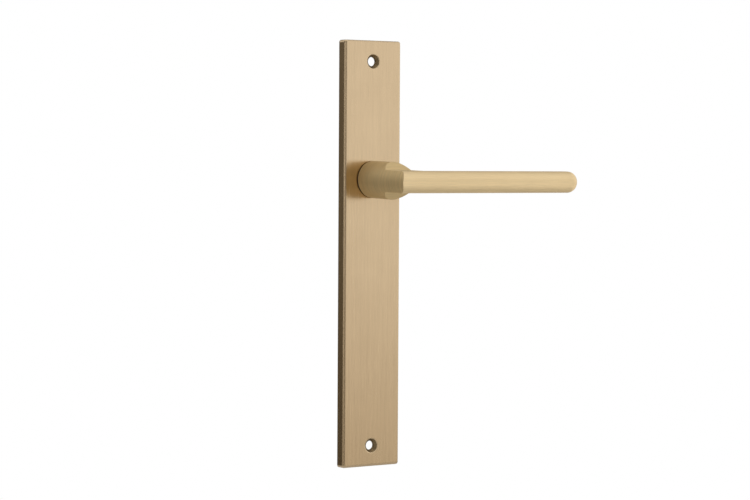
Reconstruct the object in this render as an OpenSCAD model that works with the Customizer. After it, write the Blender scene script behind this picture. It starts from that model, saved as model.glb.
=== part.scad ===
// Lever door handle on a long backplate, for one side of a door.
// The origin is on the spindle axis, in the plane of the door's face. +Z is up, +X runs along
// the lever towards its tip, and +Y goes into the door, so the plate and the lever are at -Y.

/* [Backplate] */
// Width of the plate
plate_w = 38; // [36:1:44]
// Height of the plate
plate_h = 240; // [236:1:260]
// Height of the spindle axis above the middle of the plate
spindle_up = 42; // [30:1:50]
// Depth of the plate, from the door to its front face
plate_t = 6; // [5.5:0.5:7]
// Thickness of the metal in the plate's front
face_t = 2.8; // [2.4:0.1:3]
// Width of the rim that rests on the door
rim_w = 2.6; // [2:0.1:2.8]
// Radius along the plate's front edges and at its corners
plate_edge_r = 1.4; // [0.8:0.1:2]
// Thickness of the stiffening ribs in the hollow back
rib_t = 1.8; // [1:0.1:3]

/* [Fixing holes] */
// Distance between the two fixing screws
hole_spacing = 216.4; // [200:0.2:220]
// Diameter of the fixing holes
hole_d = 5.2; // [4.5:0.1:5.6]
// Diameter of the countersinks at the front
countersink_d = 8.2; // [8:0.1:9]

/* [Lever] */
// Diameter of the neck where it meets the plate
neck_d = 20.9; // [20:0.1:23]
// Diameter of the neck at its shoulders
neck_front_d = 21.1; // [20:0.1:23]
// Distance from the plate's front to where the neck's shoulders begin
shoulder_start = 19.5; // [17:0.5:21]
// Distance from the plate's front to where the shoulders meet the bar
shoulder_end = 25; // [23:0.5:27]
// Height and depth of the bar's section
bar_d = 12.2; // [11:0.1:14]
// Radius of the bar's long edges
bar_edge_r = 4.6; // [2:0.1:5]
// Distance from the plate's front to the front of the bar
bar_front = 45; // [42:0.5:50]
// How far the neck leans down from square to the plate
neck_lean = 1.6; // [0:0.1:2]
// Distance from the spindle axis to the tip of the bar
lever_reach = 113.6; // [100:0.1:130]
// How far the lever turns down
lever_travel = 45; // [30:1:50]

/* [Drive and bearings] */
// Side of the square spindle
spindle_side = 8; // [7:0.1:8]
// How far the spindle stands behind the door's face
spindle_out = 21; // [18:1:60]
// Diameter of the drive sleeve in the front bearing
sleeve_d = 15; // [14.8:0.1:15.2]
// Diameter of the drive sleeve in the rear bearing
sleeve_rear_d = 14; // [13.8:0.1:14.2]
// Running clearance all round each bearing
running_gap = 0.05; // [0.02:0.01:0.08]
// Outer diameter of the front bush
bush_d = 17.4; // [17:0.1:17.8]
// Outer diameter of the rear bush
rear_bush_d = 16.4; // [16:0.1:17]
// Thickness of the front bush's flange, which shows as a dark line under the neck
bush_flange_t = 0.5; // [0.4:0.1:0.8]

/* [Spring cassette] */
// Outer diameter of the spring housing
housing_d = 28.8; // [28.4:0.1:29]
// Inner diameter of the spring housing
housing_bore_d = 26; // [25.8:0.1:26.2]
// Diameter of the spring wire
wire_d = 1.5; // [1.2:0.1:1.6]
// Diameter of the spring to the middle of its wire
coil_d = 22.4; // [22.2:0.1:22.6]
// Distance from each turn of the spring to the next
coil_pitch = 1.6; // [1.6:0.05:1.7]
// Distance from the spindle axis to each cassette screw
cassette_screw_up = 16.6; // [16.4:0.1:18]

/* [Hidden] */
$fn = 96;

brass = [0.77, 0.68, 0.51];
brass_side = [0.74, 0.65, 0.47];
steel = [0.66, 0.67, 0.69];
bright_steel = [0.78, 0.79, 0.80];
spring_steel = [0.45, 0.46, 0.48];
zinc = [0.60, 0.61, 0.62];
black_acetal = [0.08, 0.08, 0.08];
white_acetal = [0.90, 0.89, 0.85];

gap = 0.05;                 // between pieces that are held together
cut = 1;                    // how far a cutter runs past a face
clearance = 0.4;            // round turning pieces where nothing bears on them
rib_pitch = 24;
rib_start = 8;              // height of one of the ribs above the spindle axis
floor_t = 0.8;              // floor of the spring housing
cover_t = 1;                // housing cover
drive_t = 1.4;              // drive plate
washer_t = 0.8;             // flat washer
wave_h = 0.7;               // free height of the wave washer
circlip_t = 1;
friction_t = 0.4;           // friction washer
shim_t = 0.2;               // thrust washer under the neck
spring_gap = 0.2;           // between the spring and the drive plate
flange_inset = 0.35;        // how far the front bush's flange stands back from the neck's edge
shim_inset = 0.6;           // the same for the thrust washer and the grub screw
friction_r = 10;
washer_r = 10.5;
wave_r = 9.6;
circlip_r = 8.6;
rear_flange_t = 0.7;
rear_flange_w = 1.8;        // how far the rear bush's flange laps over the cover
sleeve_reach = 20;          // how far the drive sleeve stands into the neck
sleeve_tail = 1.2;          // how far it stands out behind the circlip

// Levels along Y, from the front to the back.
face_y = -plate_t;
inner_y = face_y + face_t;
flange_y = face_y - bush_flange_t;
shim_y = flange_y - gap - shim_t;
neck_y = shim_y - gap;
floor_y = inner_y + floor_t;
coil_y0 = floor_y + wire_d / 2 + 2 * gap;
coil_turns = 2.25;
coil_y1 = coil_y0 + coil_turns * coil_pitch;
drive_y = coil_y1 + wire_d / 2 + spring_gap;
friction_y = drive_y + drive_t + gap;
cover_y = friction_y + friction_t + gap;
cover_back = cover_y + cover_t;
washer_y = cover_back + rear_flange_t + gap;
wave_y = washer_y + washer_t + gap;
circlip_y = wave_y + wave_h + gap;
sleeve_end = circlip_y + circlip_t + sleeve_tail;
sleeve_start = face_y - sleeve_reach;

// The lever.
bar_y = face_y - bar_front + bar_d / 2;
shoulder_y = face_y - shoulder_start;
tip_x = lever_reach - bar_d / 2;
grub_y = face_y - sleeve_reach / 2;
grub_d = 5;

// Pins, and the angles at which they stand, from +X towards +Z.
pin_r = 0.9;
pin_orbit = 9.35;
stop_r = 1.25;
stop_orbit = 11.3;
stop_angle = 200;
leg_front_angle = 120;
leg_rear_angle = leg_front_angle - 360 * coil_turns;
post_angle = leg_front_angle - angle_for(pin_r + wire_d / 2 + gap, pin_orbit);
drive_pin_angle = leg_rear_angle + angle_for(pin_r + wire_d / 2 + spring_gap, pin_orbit);
sleeve_flat = 6.1;          // from the axis to each flat of the sleeve's rear part
groove_r = 6.4;             // bottom of the circlip groove
stop_play = 1;              // free turn beyond the lever's travel, in degrees at each end
screw_r = 1.5;              // cassette screws
screw_bite = 2;             // how far they go into the metal of the plate's front
ear_r = 3.2;                // round the cassette screws

function angle_for(width, radius) = asin(width / radius);
function polar(radius, angle, y) = [radius * cos(angle), y, radius * sin(angle)];

// ---- Shared shapes ----

// A disc or rod along Y.
module rod(y0, y1, r) {
    translate([0, y0, 0]) rotate([-90, 0, 0]) cylinder(h = y1 - y0, r = r);
}

// A cone along Y.
module taper(y0, y1, r0, r1) {
    translate([0, y0, 0]) rotate([-90, 0, 0]) cylinder(h = y1 - y0, r1 = r0, r2 = r1);
}

// A flat ring along Y.
module ring(y0, y1, r_out, r_in) {
    difference() {
        rod(y0, y1, r_out);
        rod(y0 - cut, y1 + cut, r_in);
    }
}

// An outline drawn in X and Z, made solid from y0 to y1.
module slab(y0, y1) {
    translate([0, y1, 0]) rotate([90, 0, 0]) linear_extrude(y1 - y0) children();
}

// An outline drawn in Y and Z, made solid from x0 to x1.
module along_x(x0, x1) {
    translate([x0, 0, 0]) rotate([90, 0, 90]) linear_extrude(x1 - x0) children();
}

// Puts its children on the spindle axis's orbit, at an angle from +X towards +Z.
module on_orbit(radius, angle) {
    translate(polar(radius, angle, 0)) children();
}

// A square outline with round corners.
module round_square(side, r) {
    square([side, side - 2 * r], center = true);
    square([side - 2 * r, side], center = true);
    for (sx = [-1, 1], sy = [-1, 1])
        translate([sx * (side / 2 - r), sy * (side / 2 - r)]) circle(r);
}

// A sector of a disc, from angle a0 to a1, to cut a notch with.
module sector(radius, a0, a1) {
    steps = 6;
    polygon(concat([[0, 0]], [for (i = [0 : steps])
        let (a = a0 + (a1 - a0) * i / steps) radius * [cos(a), sin(a)]]));
}

// ---- Fixed pieces ----

// The plate's solid outside, with its front edges and corners rounded.
module plate_shape() {
    w = plate_w / 2 - plate_edge_r;
    h = plate_h / 2 - plate_edge_r;
    y = face_y + plate_edge_r;
    translate([0, 0, -spindle_up]) {
        slab(face_y, 0) square([2 * w, 2 * h], center = true);
        slab(y, 0) square([plate_w, 2 * h], center = true);
        slab(y, 0) square([2 * w, plate_h], center = true);
        for (s = [-1, 1]) {
            translate([s * w, y, -h]) cylinder(h = 2 * h, r = plate_edge_r);
            translate([-w, y, s * h]) rotate([0, 90, 0]) cylinder(h = 2 * w, r = plate_edge_r);
            for (t = [-1, 1]) translate([s * w, 0, t * h]) {
                rod(y, 0, plate_edge_r);
                translate([0, y, 0]) sphere(plate_edge_r);
            }
        }
    }
}

// The hollow in the plate's back. Cross ribs stand in it between the fixing holes, clear of the
// cassette.
module plate_hollow() {
    last = ceil(plate_h / rib_pitch);
    rib_zs = [for (i = [-last : last])
        let (z = rib_start + i * rib_pitch)
        if (abs(z) > cassette_screw_up + 2 * ear_r
            && abs(z + spindle_up) < hole_spacing / 2 - countersink_d) z];
    difference() {
        slab(inner_y, cut) translate([0, -spindle_up])
            square([plate_w - 2 * rim_w, plate_h - 2 * rim_w], center = true);
        for (z = rib_zs) slab(inner_y - cut, -1) translate([0, z])
            square([plate_w, rib_t], center = true);
    }
}

module fixing_hole() {
    depth = (countersink_d - hole_d) / 2;
    rod(face_y - cut, 0, hole_d / 2);
    taper(face_y, face_y + depth, countersink_d / 2, hole_d / 2);
    rod(face_y - cut, face_y, countersink_d / 2);
}

module backplate() {
    color(brass) difference() {
        plate_shape();
        plate_hollow();
        rod(face_y - cut, 0, bush_d / 2 + gap);
        for (s = [-1, 1]) {
            translate([0, 0, s * hole_spacing / 2 - spindle_up]) fixing_hole();
            translate([0, 0, s * cassette_screw_up])
                rod(inner_y - screw_bite - 2 * gap, 0, screw_r + gap);
        }
    }
}

module front_bush() {
    color(black_acetal) difference() {
        union() {
            rod(flange_y, face_y, neck_d / 2 - flange_inset);
            rod(face_y - gap, inner_y, bush_d / 2);
        }
        rod(flange_y - cut, inner_y + cut, sleeve_d / 2 + running_gap);
    }
}

// The cassette's outline, with an ear above and below for its screws.
module cassette_outline(r) {
    circle(r);
    square([2 * ear_r, 2 * cassette_screw_up], center = true);
    for (s = [-1, 1]) translate([0, s * cassette_screw_up]) circle(ear_r);
}

module screw_holes() {
    for (s = [-1, 1]) translate([0, s * cassette_screw_up]) circle(screw_r + 2 * gap);
}

module spring_housing() {
    color(zinc) difference() {
        slab(inner_y, cover_y) difference() {
            cassette_outline(housing_d / 2);
            screw_holes();
        }
        rod(floor_y, cover_y + cut, housing_bore_d / 2);
        rod(inner_y - cut, floor_y + cut, sleeve_d / 2 + clearance);
        on_orbit(pin_orbit, post_angle) rod(inner_y - cut, floor_y + cut, pin_r + gap);
    }
}

// Holds the spring's front leg.
module spring_post() {
    color(bright_steel) on_orbit(pin_orbit, post_angle)
        rod(inner_y + gap, coil_y0 + wire_d, pin_r);
}

// The middle of the spring's wire: a leg that points inwards, a bend, the turns, a bend and a leg.
function spring_path(bend_r = 1, bend_steps = 4, turn_steps = 24) =
    let (
        coil_r = coil_d / 2,
        hub = coil_r - bend_r,
        lead = asin(bend_r / hub),
        start = leg_front_angle - lead,
        end = leg_rear_angle + lead,
        steps = round(coil_turns * turn_steps),
        leg_in = polar(pin_orbit - pin_r, leg_front_angle, coil_y0),
        leg_out = polar(pin_orbit - pin_r, leg_rear_angle, coil_y1),
        bend_in = [for (i = [0 : bend_steps - 1])
            let (a = leg_front_angle + 90 - (90 + lead) * i / bend_steps)
            polar(hub, start, coil_y0) + polar(bend_r, a, 0)],
        turns = [for (i = [0 : steps])
            let (t = i / steps)
            polar(coil_r, start + (end - start) * t, coil_y0 + (coil_y1 - coil_y0) * t)],
        bend_out = [for (i = [1 : bend_steps])
            let (a = end - (90 + lead) * i / bend_steps)
            polar(hub, end, coil_y1) + polar(bend_r, a, 0)]
    )
    concat([leg_in], bend_in, turns, bend_out, [leg_out]);

// A round wire swept along a path that stays close to a plane of constant Y.
module wire(path, d, sides = 10) {
    last = len(path) - 1;
    function unit(v) = v / norm(v);
    function ring_at(i) =
        let (
            along = unit(path[min(i + 1, last)] - path[max(i - 1, 0)]),
            side = unit(cross([0, 1, 0], along)),
            up = cross(along, side)
        )
        [for (k = [0 : sides - 1]) path[i] + d / 2 * (cos(360 * k / sides) * side
            + sin(360 * k / sides) * up)];
    points = [for (i = [0 : last]) each ring_at(i)];
    walls = [for (i = [0 : last - 1], k = [0 : sides - 1])
        let (a = i * sides + k, b = i * sides + (k + 1) % sides)
        [a, a + sides, b + sides, b]];
    ends = [[for (k = [0 : sides - 1]) k], [for (k = [sides - 1 : -1 : 0]) last * sides + k]];
    polyhedron(points, concat(walls, ends), convexity = 8);
}

module return_spring() {
    color(spring_steel) wire(spring_path(), wire_d);
}

// Riveted in the cover, it stands in the drive plate's notch and limits the lever's travel.
module stop_pin() {
    color(bright_steel) on_orbit(stop_orbit, stop_angle) rod(drive_y, cover_back, stop_r);
}

module housing_cover() {
    color(steel) difference() {
        slab(cover_y, cover_back) difference() {
            cassette_outline(housing_d / 2);
            screw_holes();
            circle(rear_bush_d / 2 + gap);
        }
        on_orbit(stop_orbit, stop_angle) rod(cover_y - cut, cover_back + cut, stop_r + gap);
    }
}

module rear_bush() {
    color(white_acetal) difference() {
        union() {
            rod(cover_y, cover_back, rear_bush_d / 2);
            rod(cover_back, cover_back + rear_flange_t, rear_bush_d / 2 + rear_flange_w);
        }
        rod(cover_y - cut, cover_back + cut, sleeve_rear_d / 2 + running_gap);
    }
}

// Two pan head screws, which hold the cover and the housing to the plate.
module cassette_screws() {
    head_r = 2.75;
    head_h = 1.9;
    crown_r = 2.1;
    slot_w = 0.8;
    slot_depth = 1.1;
    slot_y = cover_back + head_h - slot_depth;
    color(bright_steel) for (s = [-1, 1]) translate([0, 0, s * cassette_screw_up]) {
        rod(inner_y - screw_bite, cover_back, screw_r);
        difference() {
            union() {
                rod(cover_back, cover_back + head_h / 2, head_r);
                taper(cover_back + head_h / 2, cover_back + head_h, head_r, crown_r);
            }
            slab(slot_y, slot_y + 2 * cut) {
                square([2 * crown_r, slot_w], center = true);
                square([slot_w, 2 * crown_r], center = true);
            }
        }
    }
}

// ---- Pieces that turn with the lever ----

// The side view of the neck: round stock, two sloping shoulders, then the web behind the bar.
module neck_profile() {
    front = face_y - shoulder_end;
    polygon([
        [face_y, -neck_front_d], [shoulder_y, -neck_front_d / 2],
        [front, -bar_d / 2], [bar_y, -bar_d / 2],
        [bar_y, bar_d / 2], [front, bar_d / 2],
        [shoulder_y, neck_front_d / 2], [face_y, neck_front_d]
    ]);
    translate([bar_y, 0]) round_square(bar_d, bar_edge_r);
}

module neck() {
    intersection() {
        union() {
            taper(shoulder_y, face_y, neck_front_d / 2, neck_d / 2);
            rod(face_y - bar_front - cut, shoulder_y, neck_front_d / 2);
        }
        along_x(-plate_w, plate_w) neck_profile();
    }
}

module bar() {
    translate([0, bar_y, 0]) {
        along_x(0, tip_x) round_square(bar_d, bar_edge_r);
        translate([tip_x, 0, 0]) rotate([90, 0, 0]) rotate_extrude() intersection() {
            round_square(bar_d, bar_edge_r);
            translate([0, -bar_d]) square([bar_d, 2 * bar_d]);
        }
    }
}

module lever() {
    color(brass_side) difference() {
        translate([0, face_y, 0]) rotate([neck_lean, 0, 0]) translate([0, -face_y, 0]) {
            neck();
            bar();
        }
        rod(neck_y, 0, neck_front_d);
        rod(sleeve_start - gap, 0, sleeve_d / 2 + gap);
        translate([0, grub_y, -neck_front_d]) cylinder(h = neck_front_d, r = grub_d / 2 + gap);
    }
}

module thrust_washer() {
    color(bright_steel) ring(shim_y, shim_y + shim_t, neck_d / 2 - shim_inset, sleeve_d / 2 + gap);
}

// The sleeve's rear part: round, with a flat on each side.
module flatted(r, flat) {
    intersection() {
        circle(r);
        square([2 * flat, 4 * r], center = true);
    }
}

module drive_sleeve() {
    socket = spindle_side + 2 * gap;
    step_y = drive_y - gap;
    color(steel) difference() {
        union() {
            rod(sleeve_start, step_y, sleeve_d / 2);
            slab(step_y, sleeve_end) flatted(sleeve_rear_d / 2, sleeve_flat);
        }
        slab(sleeve_start - cut, sleeve_end + cut) square(socket, center = true);
        ring(circlip_y - gap, circlip_y + circlip_t + gap, sleeve_rear_d, groove_r);
        translate([0, grub_y, -sleeve_d]) cylinder(h = sleeve_d, r = grub_d / 2 + 2 * gap);
    }
}

// Keyed to the sleeve's flats, with a notch round the stop pin as wide as the lever's travel.
module drive_plate() {
    play = stop_play + angle_for(stop_r, stop_orbit);
    color(steel) difference() {
        slab(drive_y, drive_y + drive_t) difference() {
            circle(housing_bore_d / 2 - clearance);
            flatted(sleeve_rear_d / 2 + gap, sleeve_flat + gap);
            difference() {
                sector(housing_d, stop_angle - play, stop_angle + lever_travel + play);
                circle(stop_orbit - stop_r - clearance);
            }
        }
        on_orbit(pin_orbit, drive_pin_angle)
            rod(drive_y - cut, drive_y + drive_t + cut, pin_r + gap);
    }
}

// Riveted in the drive plate, it pushes the spring's rear leg round.
module drive_pin() {
    color(bright_steel) on_orbit(pin_orbit, drive_pin_angle)
        rod(coil_y1 - wire_d, drive_y + drive_t, pin_r);
}

module friction_washer() {
    color(white_acetal)
        ring(friction_y, friction_y + friction_t, friction_r, sleeve_rear_d / 2 + gap);
}

module flat_washer() {
    color(bright_steel)
        ring(washer_y, washer_y + washer_t, washer_r, sleeve_rear_d / 2 + gap);
}

module wave_washer() {
    color(spring_steel) ring(wave_y, wave_y + wave_h, wave_r, sleeve_rear_d / 2 + gap);
}

// A split ring with an eye on each side of its gap.
module circlip() {
    opening = 24;
    eye_orbit = 9;
    eye_r = 1.7;
    eye_hole_r = 0.75;
    color(spring_steel) slab(circlip_y, circlip_y + circlip_t) difference() {
        union() {
            circle(circlip_r);
            for (s = [-1, 1]) rotate(s * opening - 90) translate([eye_orbit, 0]) circle(eye_r);
        }
        circle(groove_r + gap);
        sector(eye_orbit * 2, -90 - opening / 2, -90 + opening / 2);
        for (s = [-1, 1]) rotate(s * opening - 90) translate([eye_orbit, 0]) circle(eye_hole_r);
    }
}

// The spindle seen from the side, chamfered at the end that enters the lock.
module spindle_side_view(start, end) {
    half = spindle_side / 2;
    chamfer = 1;
    polygon([
        [start, -half], [end - chamfer, -half], [end, -half + chamfer],
        [end, half - chamfer], [end - chamfer, half], [start, half]
    ]);
}

module spindle() {
    start = sleeve_start + 1;
    color(bright_steel) intersection() {
        along_x(-spindle_side / 2, spindle_side / 2) spindle_side_view(start, spindle_out);
        translate([0, 0, -spindle_side / 2]) rotate([0, 0, 90]) mirror([0, 1, 0])
            linear_extrude(spindle_side) spindle_side_view(start, spindle_out);
    }
}

// Clamps the spindle from under the neck, and locks the sleeve in the neck.
module grub_screw() {
    below = neck_d / 2 - shim_inset;
    socket_w = 2.5;
    socket_depth = 2.4;
    color(spring_steel) translate([0, grub_y, 0]) difference() {
        translate([0, 0, -below]) cylinder(h = below - spindle_side / 2, r = grub_d / 2);
        translate([0, 0, -below - cut])
            cylinder(h = cut + socket_depth, d = socket_w / cos(30), $fn = 6);
    }
}

backplate();
front_bush();
spring_housing();
spring_post();
return_spring();
stop_pin();
housing_cover();
rear_bush();
cassette_screws();
lever();
thrust_washer();
drive_sleeve();
drive_plate();
drive_pin();
friction_washer();
flat_washer();
wave_washer();
circlip();
spindle();
grub_screw();
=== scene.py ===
"""Looks of a brass lever handle on a long backplate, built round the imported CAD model."""

import math

import bmesh
import bpy
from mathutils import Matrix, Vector


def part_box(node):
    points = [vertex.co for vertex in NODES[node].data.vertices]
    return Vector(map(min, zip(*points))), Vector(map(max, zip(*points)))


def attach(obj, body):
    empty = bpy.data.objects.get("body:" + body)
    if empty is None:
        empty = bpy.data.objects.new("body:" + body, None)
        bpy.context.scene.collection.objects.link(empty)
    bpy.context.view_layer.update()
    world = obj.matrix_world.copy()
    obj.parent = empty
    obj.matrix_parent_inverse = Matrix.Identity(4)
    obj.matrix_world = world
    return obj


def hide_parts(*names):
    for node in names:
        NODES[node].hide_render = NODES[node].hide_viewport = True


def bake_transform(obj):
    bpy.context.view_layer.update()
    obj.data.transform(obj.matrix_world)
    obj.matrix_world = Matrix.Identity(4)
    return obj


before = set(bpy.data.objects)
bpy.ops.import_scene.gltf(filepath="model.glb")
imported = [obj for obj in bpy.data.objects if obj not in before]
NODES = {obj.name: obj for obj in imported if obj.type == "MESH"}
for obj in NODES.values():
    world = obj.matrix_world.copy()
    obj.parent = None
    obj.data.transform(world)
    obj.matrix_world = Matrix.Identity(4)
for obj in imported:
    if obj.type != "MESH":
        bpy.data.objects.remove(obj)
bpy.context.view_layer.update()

MM = 0.001

# The camera, from a perspective fit to the plate's edges: it stands to the left of the plate
# and looks slightly down.
CAMERA_YAW = math.radians(34.34)
CAMERA_PITCH = math.radians(2.09)
CAMERA_ROLL = math.radians(0.32)
CAMERA_DISTANCE = 1.351
CAMERA_LENS = 115.06
CAMERA_SENSOR = 36                       # millimetres, as the lens
CAMERA_TARGET = (1.88 * MM, 2.25 * MM)   # from the middle of the plate's front, along X and Z
CAMERA_NEAR, CAMERA_FAR = 0.05, 50

# The studio: soft lights in a dim room, white behind the object and shaded a little low down.
# Each light has a direction, how near to it the light starts and is full, and its strength.
DIM = (0.12, 0.107, 0.085, 1)
BRIGHT = (0.95, 0.95, 0.95, 1)
LIGHTS = (
    ((0.94, -0.34, 0), 0.25, 0.8, 1.0),        # the main one, wide, to the right
    ((-0.94, -0.34, 0), 0.84, 0.97, 0.75),     # to the left
    ((-0.42, 0.72, 0.55), 0.86, 0.97, 0.9),    # behind
    ((-0.56, -0.83, 0), 0.7, 0.98, 0.13),      # a faint glow round the camera
    ((0, 0, 1), 0.5, 0.9, 0.85),               # overhead
)
SHADE, UNSHADED = (0.5, 0.44, 0.35, 1), (1, 1, 1, 1)
SHADE_UP, SHADE_HALF = -0.17, 0.14       # height of the shade's middle, as a slope, and its half width
BACKDROP = (0.98, 0.98, 0.98, 1)
BACKDROP_STRENGTH = 1.02
FLOOR_COLOUR = (0.77, 0.77, 0.76, 1)
FLOOR_ROUGHNESS = 0.9
FLOOR_DROP = 0.14                        # below the plate's lower end
FLOOR_RADIUS = 0.6

# The brass: brushed up and down the plate, along the bar and round the neck. Behind its front
# and inside its rim the plate is as forged; its countersinks get the same dark brass as painted shade.
PLATE_BRASS = (0.735, 0.555, 0.348)
LEVER_BRASS = (0.95, 0.742, 0.438)
# A darker, more olive copy of the lever's brass for the neck: painted shade.
NECK_BRASS_PAINTED_SHADE = (0.85, 0.67, 0.375)
# The lighter brass along the edges is partly wear and partly a painted highlight.
WORN_AND_HIGHLIGHT_BRASS = (0.97, 0.8, 0.54, 1)
# Dark forged brass behind the plate; in the countersinks the same dark is painted shade.
RAW_BRASS_AND_PAINTED_SHADE = (0.3, 0.215, 0.115)
WORN_AND_HIGHLIGHT_SHARE = 0.35                        # how much an edge turns to the lighter brass, which is wear and also a painted highlight
PLATE_ROUGHNESS, PLATE_ANISOTROPY = 0.24, 0.6
BAR_ROUGHNESS, BAR_ANISOTROPY = 0.44, 0.8
NECK_ROUGHNESS = 0.67
PLATE_EDGE, LEVER_EDGE = 1.0 * MM, 0.5 * MM
PLATE_RIM = 2.5 * MM                     # of the plate's raised edge, seen from behind
COUNTERSINK_LIP = 0.15 * MM
BAR_BACK = -38.5 * MM                    # the neck is behind this,
NECK_SIDE = -0.35                        # and where the surface faces left by more than this
BRASS_CLOUDS = 22 * MM                   # size of the patches where the brushing varies

# The other finishes.
ZINC_BLUE, ZINC_WARM = (0.56, 0.59, 0.64, 1), (0.68, 0.66, 0.6, 1)
BRIGHT_STEEL = (0.68, 0.685, 0.69)
RUBBED_STEEL = (0.8, 0.8, 0.8, 1)
PHOSPHATE_GREY, PHOSPHATE_BROWN = (0.1, 0.1, 0.11, 1), (0.17, 0.145, 0.12, 1)
PHOSPHATE_CRYSTAL = (0.3, 0.3, 0.31, 1)
CAST_DARK, CAST_LIGHT = (0.34, 0.35, 0.36, 1), (0.48, 0.485, 0.49, 1)
BLACK_ACETAL, BLACK_DUST = (0.015, 0.015, 0.015), (0.1, 0.1, 0.1, 1)
WHITE_ACETAL, WHITE_DUST = (0.74, 0.73, 0.69), (0.6, 0.58, 0.52, 1)
ACETAL_IOR = 1.48

# Every finish.
AXIS_TURN = 0.02                         # a slight turn of each brush axis, for the faces square to it
EDGE_STARTS, EDGE_FULL = 0.99, 0.8       # cosine between the rounded and the plain normal

# Noise stays near 0.5. Roughness varies over the first of these spans, and colour over the second.
ROUGH_SPAN = (0.3, 0.7)
TINT_SPAN = (0.35, 0.65)

# The return spring, as in the CAD model; its box gives the rest.
WIRE_D = 1.5 * MM
WIRE_SIDES = 16
WIRE_CHAMFER = 0.15 * MM
SPRING_TURNS = 2.25
TURN_STEPS = 160
SPRING_BEND = 1.0 * MM                   # radius of the bends between the turns and the legs
BEND_STEPS = 8
FIRST_LEG = 120                          # degrees round the axis
LEG_INSIDE = 8.45 * MM                   # from the axis to the legs' ends

# The wave washer.
WAVES = 3
WAVE_STEPS = 144
WAVE_STOCK = 0.3 * MM
WAVE_WIDTH = 2.55 * MM
WAVE_CHAMFER = 0.06 * MM


# ---- Node helpers ----

class Nodes:
    """Short calls for making and linking the nodes of one node tree."""

    def __init__(self, tree):
        self.tree = tree
        tree.nodes.clear()

    def add(self, kind, inputs=None, **settings):
        node = self.tree.nodes.new(kind)
        for name, value in settings.items():
            setattr(node, name, value)
        for name, value in (inputs or {}).items():
            self.put(value, node.inputs[name])
        return node

    def put(self, value, socket):
        if isinstance(value, bpy.types.NodeSocket):
            self.tree.links.new(value, socket)
        else:
            socket.default_value = value

    def math(self, operation, a, b=0.0):
        return self.add("ShaderNodeMath", {0: a, 1: b}, operation=operation).outputs[0]

    def vector(self, operation, a, b, output="Vector"):
        return self.add("ShaderNodeVectorMath", {0: a, 1: b}, operation=operation).outputs[output]

    def parts(self, vector):
        return self.add("ShaderNodeSeparateXYZ", {"Vector": vector}).outputs

    def spread(self, value, low, high, to_low=0.0, to_high=1.0, smooth=False):
        kind = "SMOOTHSTEP" if smooth else "LINEAR"
        inputs = {"Value": value, "From Min": low, "From Max": high, "To Min": to_low, "To Max": to_high}
        return self.add("ShaderNodeMapRange", inputs, interpolation_type=kind).outputs[0]

    def vary(self, noise, low, high):
        """A roughness that goes from low to high with the noise."""
        return self.spread(noise, *ROUGH_SPAN, low, high)

    def tint(self, noise, dark, light):
        """A colour that goes from dark to light with the noise."""
        return self.mix(self.spread(noise, *TINT_SPAN), dark, light)

    def blend(self, share, a, b):
        """Mixes two numbers."""
        return self.add("ShaderNodeMix", {0: share, 2: a, 3: b}).outputs[0]

    def mix(self, share, a, b, blend="MIX"):
        """Mixes two colours."""
        node = self.add("ShaderNodeMix", data_type="RGBA", blend_type=blend)
        self.put(share, node.inputs["Factor"])
        self.put(a, node.inputs["A"])
        self.put(b, node.inputs["B"])
        return node.outputs["Result"]


def new_material(name):
    material = bpy.data.materials.new(name)
    material.use_nodes = True
    return material, Nodes(material.node_tree)


# ---- Materials ----

def object_point(n):
    return n.add("ShaderNodeTexCoord").outputs["Object"]


def noise(n, point, size, detail=3.0):
    """Noise from 0 to 1 with lumps of about that size."""
    return n.add("ShaderNodeTexNoise", {"Vector": point, "Scale": 1 / size, "Detail": detail}).outputs["Fac"]


def streaks(n, point, along, width, length):
    """Noise drawn out along one or two axes, for marks of about that width and length."""
    scale = [1 / length if axis in along else 1 / width for axis in "XYZ"]
    stretched = n.add("ShaderNodeMapping", {"Vector": point, "Scale": scale}).outputs[0]
    return noise(n, stretched, size=1.0)


def brush_marks(n, point, along):
    """Fine and broad brush marks along one or two axes."""
    fine = streaks(n, point, along, width=0.25 * MM, length=9 * MM)
    broad = streaks(n, point, along, width=1.1 * MM, length=40 * MM)
    return n.blend(0.4, fine, broad)


def turning_marks(n, point):
    """Fine rings round the spindle's axis, as a lathe tool leaves them."""
    flat = n.vector("MULTIPLY", point, (1, 0, 1))
    radius = n.vector("LENGTH", flat, (0, 0, 0), output="Value")
    return noise(n, n.add("ShaderNodeCombineXYZ", {"X": radius}).outputs[0], size=0.12 * MM)


def across(n, axis):
    """The direction on the surface that is square to an axis of the object, in world space. The axis
    is turned slightly, so that faces square to it have such a direction too."""
    turned = [a + AXIS_TURN * b for a, b in zip(axis, axis[1:] + axis[:1])]
    world_axis = n.add("ShaderNodeVectorTransform", {"Vector": turned}, vector_type="VECTOR",
                       convert_from="OBJECT", convert_to="WORLD").outputs[0]
    return n.vector("CROSS_PRODUCT", world_axis, n.add("ShaderNodeNewGeometry").outputs["Normal"])


def rounded(n, radius):
    """The normal with the edges rounded off, and how near the surface is to an edge, from 0 to 1."""
    normal = n.add("ShaderNodeBevel", {"Radius": radius}, samples=4).outputs[0]
    straight = n.add("ShaderNodeNewGeometry").outputs["Normal"]
    alike = n.vector("DOT_PRODUCT", normal, straight, output="Value")
    return normal, n.spread(alike, EDGE_STARTS, EDGE_FULL)


def worn(n, tint, edge, colour, share):
    """The tint, with a share of another colour at the edges."""
    return n.mix(n.math("MULTIPLY", edge, share), tint, colour)


def shades(colour, low, high):
    """A darker and a lighter shade of a colour."""
    return [tuple(min(level * c, 1) for c in colour) + (1,) for level in (low, high)]


def surface(n, colour, roughness, relief, normal, depth, **sockets):
    """The shader: its relief is a height from 0 to 1 over a depth."""
    bump = n.add("ShaderNodeBump", {"Height": relief, "Normal": normal, "Distance": depth}).outputs[0]
    inputs = {"Base Color": colour, "Roughness": roughness, "Normal": bump, **sockets}
    shader = n.add("ShaderNodeBsdfPrincipled", inputs)
    n.add("ShaderNodeOutputMaterial", {"Surface": shader.outputs[0]})


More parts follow.
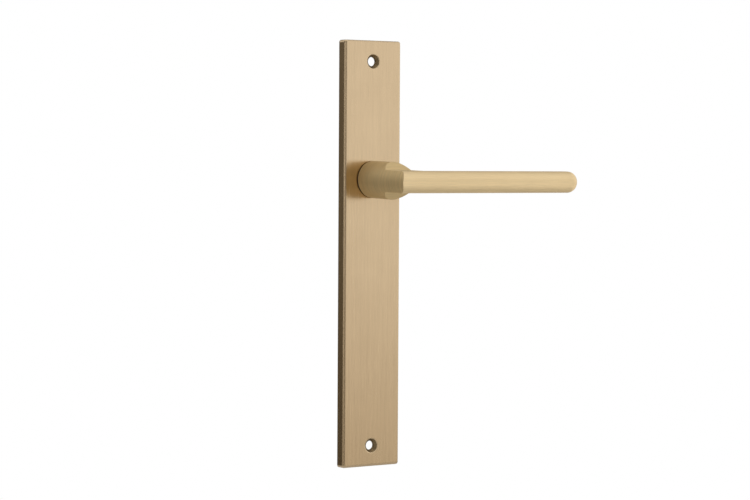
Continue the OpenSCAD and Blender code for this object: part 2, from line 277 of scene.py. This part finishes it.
def as_forged_or_shaded(n, point):
    """1 behind the plate's front and inside its rim, which takes in the countersinks, where the dark forged
    brass is painted shade. 0 elsewhere.
    """
    low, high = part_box("backplate")
    parts = n.parts(point)
    behind = n.math("GREATER_THAN", parts["Y"], low.y + COUNTERSINK_LIP)
    inside = n.math("LESS_THAN", n.math("ABSOLUTE", parts["X"]), high.x - PLATE_RIM)
    below_top = n.math("LESS_THAN", parts["Z"], high.z - PLATE_RIM)
    above_end = n.math("GREATER_THAN", parts["Z"], low.z + PLATE_RIM)
    return n.math("MULTIPLY", n.math("MULTIPLY", behind, inside), n.math("MULTIPLY", below_top, above_end))


def plate_brass():
    """Brushed up and down outside, dull and grainy where it is as forged, dark in the countersinks as
    painted shade, and lighter at the edges from wear and a painted highlight.
    """
    material, n = new_material("plate_brass")
    point = object_point(n)
    marks = brush_marks(n, point, "Z")
    grain = noise(n, point, size=0.35 * MM)
    clouds = noise(n, point, size=BRASS_CLOUDS)
    normal, edge = rounded(n, PLATE_EDGE)
    raw_or_shaded = as_forged_or_shaded(n, point)
    # The edges turn lighter: wear, and a painted highlight along them.
    satin = worn(n, n.tint(marks, *shades(PLATE_BRASS, 0.9, 1.06)), edge, WORN_AND_HIGHLIGHT_BRASS, share=WORN_AND_HIGHLIGHT_SHARE)
    dull = n.mix(n.blend(0.5, grain, clouds), *shades(RAW_BRASS_AND_PAINTED_SHADE, 0.7, 1.2))
    satin_rough = n.math("ADD", n.vary(marks, PLATE_ROUGHNESS - 0.04, PLATE_ROUGHNESS + 0.04),
                         n.vary(clouds, -0.02, 0.02))
    rough = n.blend(raw_or_shaded, satin_rough, n.vary(grain, 0.36, 0.5))
    relief = n.blend(raw_or_shaded, n.math("MULTIPLY", marks, 0.1), grain)
    # In the countersinks the dark forged brass is painted shade.
    surface(n, n.mix(raw_or_shaded, satin, dull), rough, relief, normal, depth=0.04 * MM, Metallic=1.0,
            Tangent=across(n, (0, 0, 1)), Anisotropic=n.blend(raw_or_shaded, PLATE_ANISOTROPY, 0.0))
    return material


def lever_brass():
    """Brushed along the bar, and less finely round the neck, where a darker copy of the same brass is
    painted shade. Lighter at the edges from wear and a painted highlight.
    """
    material, n = new_material("lever_brass")
    point = object_point(n)
    facing = n.add("ShaderNodeTexCoord").outputs["Normal"]
    behind = n.math("GREATER_THAN", n.parts(point)["Y"], BAR_BACK)
    neck = n.math("MAXIMUM", behind, n.math("LESS_THAN", n.parts(facing)["X"], NECK_SIDE))
    marks = n.blend(neck, brush_marks(n, point, "X"), brush_marks(n, point, "XZ"))
    clouds = noise(n, point, size=BRASS_CLOUDS)
    normal, edge = rounded(n, LEVER_EDGE)
    bar_dark, bar_light = shades(LEVER_BRASS, 0.9, 1.05)
    # The neck's darker brass is painted shade.
    neck_dark, neck_light = shades(NECK_BRASS_PAINTED_SHADE, 0.86, 1.08)
    tint = n.tint(marks, n.mix(neck, bar_dark, neck_dark), n.mix(neck, bar_light, neck_light))
    rough = n.math("ADD", n.blend(neck, BAR_ROUGHNESS, NECK_ROUGHNESS), n.vary(marks, -0.04, 0.04))
    rough = n.math("ADD", rough, n.vary(clouds, -0.02, 0.02))
    # The edges turn lighter: wear, and a painted highlight along them.
    surface(n, worn(n, tint, edge, WORN_AND_HIGHLIGHT_BRASS, share=WORN_AND_HIGHLIGHT_SHARE), rough, marks, normal, depth=0.004 * MM,
            Metallic=1.0, Tangent=across(n, (1, 0, 0)), Anisotropic=n.blend(neck, BAR_ANISOTROPY, 0.0))
    return material


def plated_steel():
    """A pressing with bright zinc plating: a bluish tinge in patches, faint rolling lines, rubbed edges."""
    material, n = new_material("steel")
    point = object_point(n)
    rolling = streaks(n, point, "X", width=0.15 * MM, length=5 * MM)
    patches = noise(n, point, size=4 * MM)
    normal, edge = rounded(n, 0.15 * MM)
    tint = worn(n, n.tint(patches, ZINC_BLUE, ZINC_WARM), edge, RUBBED_STEEL, share=0.6)
    rough = n.math("ADD", n.vary(patches, 0.28, 0.4), n.vary(rolling, -0.04, 0.04))
    surface(n, tint, rough, rolling, normal, depth=0.006 * MM, Metallic=1.0)
    return material


def turned_steel():
    """Bright steel with rings from the lathe, thinly oiled."""
    material, n = new_material("turned_steel")
    point = object_point(n)
    rings = turning_marks(n, point)
    film = noise(n, point, size=3 * MM)
    normal, edge = rounded(n, 0.1 * MM)
    tint = worn(n, n.tint(rings, *shades(BRIGHT_STEEL, 0.88, 1.08)), edge, RUBBED_STEEL, share=0.5)
    rough = n.math("ADD", n.vary(film, 0.14, 0.26), n.vary(rings, -0.03, 0.03))
    surface(n, tint, rough, rings, normal, depth=0.006 * MM, Metallic=1.0)
    return material


def drawn_steel():
    """Bright drawn bar: fine lines along it, and a few scuffs across them."""
    material, n = new_material("drawn_steel")
    point = object_point(n)
    lines = streaks(n, point, "Y", width=0.12 * MM, length=12 * MM)
    scuffs = n.spread(streaks(n, point, "X", width=0.3 * MM, length=2 * MM), 0.62, 0.7)
    normal, edge = rounded(n, 0.2 * MM)
    tint = worn(n, n.tint(lines, *shades(BRIGHT_STEEL, 0.86, 1.06)), edge, RUBBED_STEEL, share=0.5)
    rough = n.math("ADD", n.vary(lines, 0.2, 0.3), n.math("MULTIPLY", scuffs, 0.15))
    surface(n, tint, rough, lines, normal, depth=0.008 * MM, Metallic=1.0,
            Tangent=across(n, (0, 1, 0)), Anisotropic=0.5)
    return material


def spring_steel():
    """Phosphated and oiled: dark, finely crystalline, brown in patches and bright where it rubs."""
    material, n = new_material("spring_steel")
    point = object_point(n)
    crystals = noise(n, point, size=0.12 * MM, detail=5.0)
    patches = noise(n, point, size=2.5 * MM)
    normal, edge = rounded(n, 0.12 * MM)
    tint = n.tint(patches, PHOSPHATE_GREY, PHOSPHATE_BROWN)
    tint = n.mix(n.spread(crystals, 0.4, 0.7, to_high=0.3), tint, PHOSPHATE_CRYSTAL)
    rough = n.math("ADD", n.vary(patches, 0.24, 0.4), n.vary(crystals, -0.05, 0.05))
    tint = worn(n, tint, edge, RUBBED_STEEL, share=0.5)
    surface(n, tint, rough, crystals, normal, depth=0.012 * MM, Metallic=0.85)
    return material


def cast_zinc():
    """Die-cast: grey, with a fine skin, flow marks and slightly brighter edges."""
    material, n = new_material("zinc_casting")
    point = object_point(n)
    skin = noise(n, point, size=0.4 * MM, detail=5.0)
    flow = noise(n, point, size=5 * MM)
    normal, edge = rounded(n, 0.25 * MM)
    tint = worn(n, n.tint(n.blend(0.5, skin, flow), CAST_DARK, CAST_LIGHT), edge, RUBBED_STEEL, share=0.4)
    rough = n.math("ADD", n.vary(flow, 0.42, 0.54), n.vary(skin, -0.06, 0.06))
    surface(n, tint, rough, skin, normal, depth=0.03 * MM, Metallic=0.8)
    return material


def acetal(name, colour, dust):
    """Moulded plastic with a fine spark-eroded texture, and a trace of dust in its hollows."""
    material, n = new_material(name)
    point = object_point(n)
    texture = noise(n, point, size=0.2 * MM, detail=4.0)
    flow = noise(n, point, size=6 * MM)
    normal, edge = rounded(n, 0.15 * MM)
    tint = n.tint(flow, *shades(colour, 0.9, 1.1))
    tint = n.mix(n.spread(texture, 0.5, 0.3, to_high=0.25), tint, dust)
    rough = n.math("SUBTRACT", n.vary(texture, 0.4, 0.56), n.math("MULTIPLY", edge, 0.1))
    surface(n, tint, rough, texture, normal, depth=0.012 * MM, IOR=ACETAL_IOR)
    return material


def dress(material, *names):
    """Gives these CAD nodes one material."""
    for name in names:
        piece = NODES[name]
        piece.data.materials.clear()
        piece.data.materials.append(material)


# ---- Pieces that replace CAD nodes ----

def polar(radius, angle, y):
    """A point round the spindle's axis; the angle is in degrees."""
    return Vector((radius * math.cos(math.radians(angle)), y, radius * math.sin(math.radians(angle))))


def between(low, high, steps):
    return [low + (high - low) * i / steps for i in range(steps + 1)]


def join_rings(mesh, rings):
    """Faces between each ring of points and the next."""
    for near, far in zip(rings, rings[1:]):
        for i in range(len(near)):
            mesh.faces.new((near[i - 1], near[i], far[i], far[i - 1]))


def new_piece(name, mesh, material, smooth):
    """An object from a bmesh. Where it is smooth, its end caps stay flat."""
    bmesh.ops.recalc_face_normals(mesh, faces=mesh.faces)
    for face in mesh.faces:
        face.smooth = smooth and len(face.verts) == 4
    data = bpy.data.meshes.new(name)
    mesh.to_mesh(data)
    mesh.free()
    data.materials.append(material)
    piece = bpy.data.objects.new(name, data)
    bpy.context.scene.collection.objects.link(piece)
    return piece


def spring_line():
    """The middle of the spring's wire: a leg, a bend, the turns, a bend and the other leg."""
    low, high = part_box("return_spring")
    front, rear = low.y + WIRE_D / 2, high.y - WIRE_D / 2
    coil = (high.x - low.x - WIRE_D) / 2
    hub = coil - SPRING_BEND
    lead = math.degrees(math.asin(SPRING_BEND / hub))
    last_leg = FIRST_LEG - 360 * SPRING_TURNS
    first, last = FIRST_LEG - lead, last_leg + lead
    bend = between(0, 90 + lead, BEND_STEPS)
    line = [polar(radius, FIRST_LEG, front) for radius in (LEG_INSIDE, LEG_INSIDE + WIRE_CHAMFER)]
    for turned in bend:
        line.append(polar(hub, first, front) + polar(SPRING_BEND, FIRST_LEG + 90 - turned, 0))
    for share in between(0, 1, TURN_STEPS)[1:]:
        line.append(polar(coil, first + (last - first) * share, front + (rear - front) * share))
    for turned in bend[1:]:
        line.append(polar(hub, last, rear) + polar(SPRING_BEND, last - turned, 0))
    line += [polar(radius, last_leg, rear) for radius in (LEG_INSIDE + WIRE_CHAMFER, LEG_INSIDE)]
    return line


def wire_ring(mesh, line, i):
    """Points round the wire at one point of its line. The wire's ends are chamfered."""
    last = len(line) - 1
    ahead = (line[min(i + 1, last)] - line[max(i - 1, 0)]).normalized()
    side = (Vector((0, 1, 0)) - ahead.y * ahead).normalized()
    up = ahead.cross(side)
    radius = WIRE_D / 2 - (WIRE_CHAMFER if i in (0, last) else 0)
    turns = between(0, 2 * math.pi, WIRE_SIDES)[:-1]
    return [mesh.verts.new(line[i] + radius * (math.cos(a) * side + math.sin(a) * up)) for a in turns]


def make_return_spring(material):
    """The return spring's wire, in place of the CAD node. In the mechanism one leg stays with the plate and
    the other goes with the lever; this piece is attached to neither and does not bend.
    """
    line = spring_line()
    mesh = bmesh.new()
    rings = [wire_ring(mesh, line, i) for i in range(len(line))]
    join_rings(mesh, rings)
    mesh.faces.new(rings[0])
    mesh.faces.new(rings[-1])
    spring = new_piece("return_spring_wire", mesh, material, smooth=True)
    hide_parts("return_spring")
    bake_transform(spring)


def make_wave_washer(material):
    """A flat strip with chamfered edges that waves between the flat washer and the circlip."""
    low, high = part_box("wave_washer")
    outer = (high.x - low.x) / 2
    inner = outer - WAVE_WIDTH
    middle = (low.y + high.y) / 2
    half = WAVE_STOCK / 2
    swing = (high.y - low.y) / 2 - half
    section = [(inner, half - WAVE_CHAMFER), (inner + WAVE_CHAMFER, half),
               (outer - WAVE_CHAMFER, half), (outer, half - WAVE_CHAMFER)]
    section += [(radius, -height) for radius, height in reversed(section)]
    mesh = bmesh.new()
    rings = []
    for angle in between(0, 360, WAVE_STEPS)[:-1]:
        lift = middle + swing * math.cos(math.radians(WAVES * angle))
        rings.append([mesh.verts.new(polar(radius, angle, lift + height)) for radius, height in section])
    join_rings(mesh, rings + rings[:1])
    washer = new_piece("wave_washer_strip", mesh, material, smooth=False)
    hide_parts("wave_washer")
    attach(washer, "lever_body")


# ---- Studio ----

def make_camera():
    low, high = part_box("backplate")
    forward = Vector((
        math.sin(CAMERA_YAW) * math.cos(CAMERA_PITCH),
        math.cos(CAMERA_YAW) * math.cos(CAMERA_PITCH),
        -math.sin(CAMERA_PITCH)))
    middle = (low + high) / 2
    target = Vector((middle.x + CAMERA_TARGET[0], low.y, middle.z + CAMERA_TARGET[1]))
    camera = bpy.data.objects.new("camera", bpy.data.cameras.new("camera"))
    camera.data.lens = CAMERA_LENS
    camera.data.sensor_width = CAMERA_SENSOR
    camera.data.clip_start = CAMERA_NEAR
    camera.data.clip_end = CAMERA_FAR
    camera.location = target - CAMERA_DISTANCE * forward
    camera.rotation_euler = forward.to_track_quat("-Z", "Y").to_euler("XYZ")
    camera.rotation_euler.rotate_axis("Z", CAMERA_ROLL)
    bpy.context.scene.collection.objects.link(camera)
    bpy.context.scene.camera = camera


def make_floor():
    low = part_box("backplate")[0]
    bpy.ops.mesh.primitive_circle_add(
        vertices=96, radius=FLOOR_RADIUS, fill_type="NGON", location=(0, 0, low.z - FLOOR_DROP))
    floor = bpy.context.object
    floor.name = "floor"
    material, n = new_material("floor")
    shader = n.add("ShaderNodeBsdfPrincipled", {"Base Color": FLOOR_COLOUR, "Roughness": FLOOR_ROUGHNESS})
    n.add("ShaderNodeOutputMaterial", {"Surface": shader.outputs[0]})
    floor.data.materials.append(material)


def make_world():
    """Lights the object from every side, and shows the camera a plain white backdrop."""
    world = bpy.data.worlds.new("studio")
    bpy.context.scene.world = world
    world.use_nodes = True
    n = Nodes(world.node_tree)
    direction = n.add("ShaderNodeTexCoord").outputs["Generated"]
    share = 0.0
    for toward, start, full, strength in LIGHTS:
        nearness = n.vector("DOT_PRODUCT", direction, toward, output="Value")
        light = n.spread(nearness, start, full, to_high=strength, smooth=True)
        share = n.math("MAXIMUM", share, light)
    off_shade = n.math("ABSOLUTE", n.math("SUBTRACT", n.parts(direction)["Z"], SHADE_UP))
    shade = n.mix(n.spread(off_shade, 0.0, SHADE_HALF, smooth=True), SHADE, UNSHADED)
    room = n.mix(1.0, n.mix(share, DIM, BRIGHT), shade, blend="MULTIPLY")
    studio = n.add("ShaderNodeBackground", {"Color": room}).outputs[0]
    backdrop = n.add("ShaderNodeBackground", {"Color": BACKDROP, "Strength": BACKDROP_STRENGTH}).outputs[0]
    seen = n.add("ShaderNodeLightPath").outputs["Is Camera Ray"]
    shown = n.add("ShaderNodeMixShader", {0: seen, 1: studio, 2: backdrop}).outputs[0]
    n.add("ShaderNodeOutputWorld", {"Surface": shown})
    bpy.context.scene.view_settings.view_transform = "Standard"


# ---- The whole ----

make_camera()
make_world()
make_floor()

spring_finish = spring_steel()
dress(plate_brass(), "backplate")
dress(lever_brass(), "lever")
dress(plated_steel(), "housing_cover", "drive_sleeve", "drive_plate", "cassette_screws")
dress(turned_steel(), "spring_post", "stop_pin", "thrust_washer", "drive_pin", "flat_washer")
dress(drawn_steel(), "spindle")
dress(spring_finish, "circlip", "grub_screw")
dress(cast_zinc(), "spring_housing")
dress(acetal("black_acetal", BLACK_ACETAL, BLACK_DUST), "front_bush")
dress(acetal("white_acetal", WHITE_ACETAL, WHITE_DUST), "rear_bush", "friction_washer")
make_return_spring(spring_finish)
make_wave_washer(spring_finish)
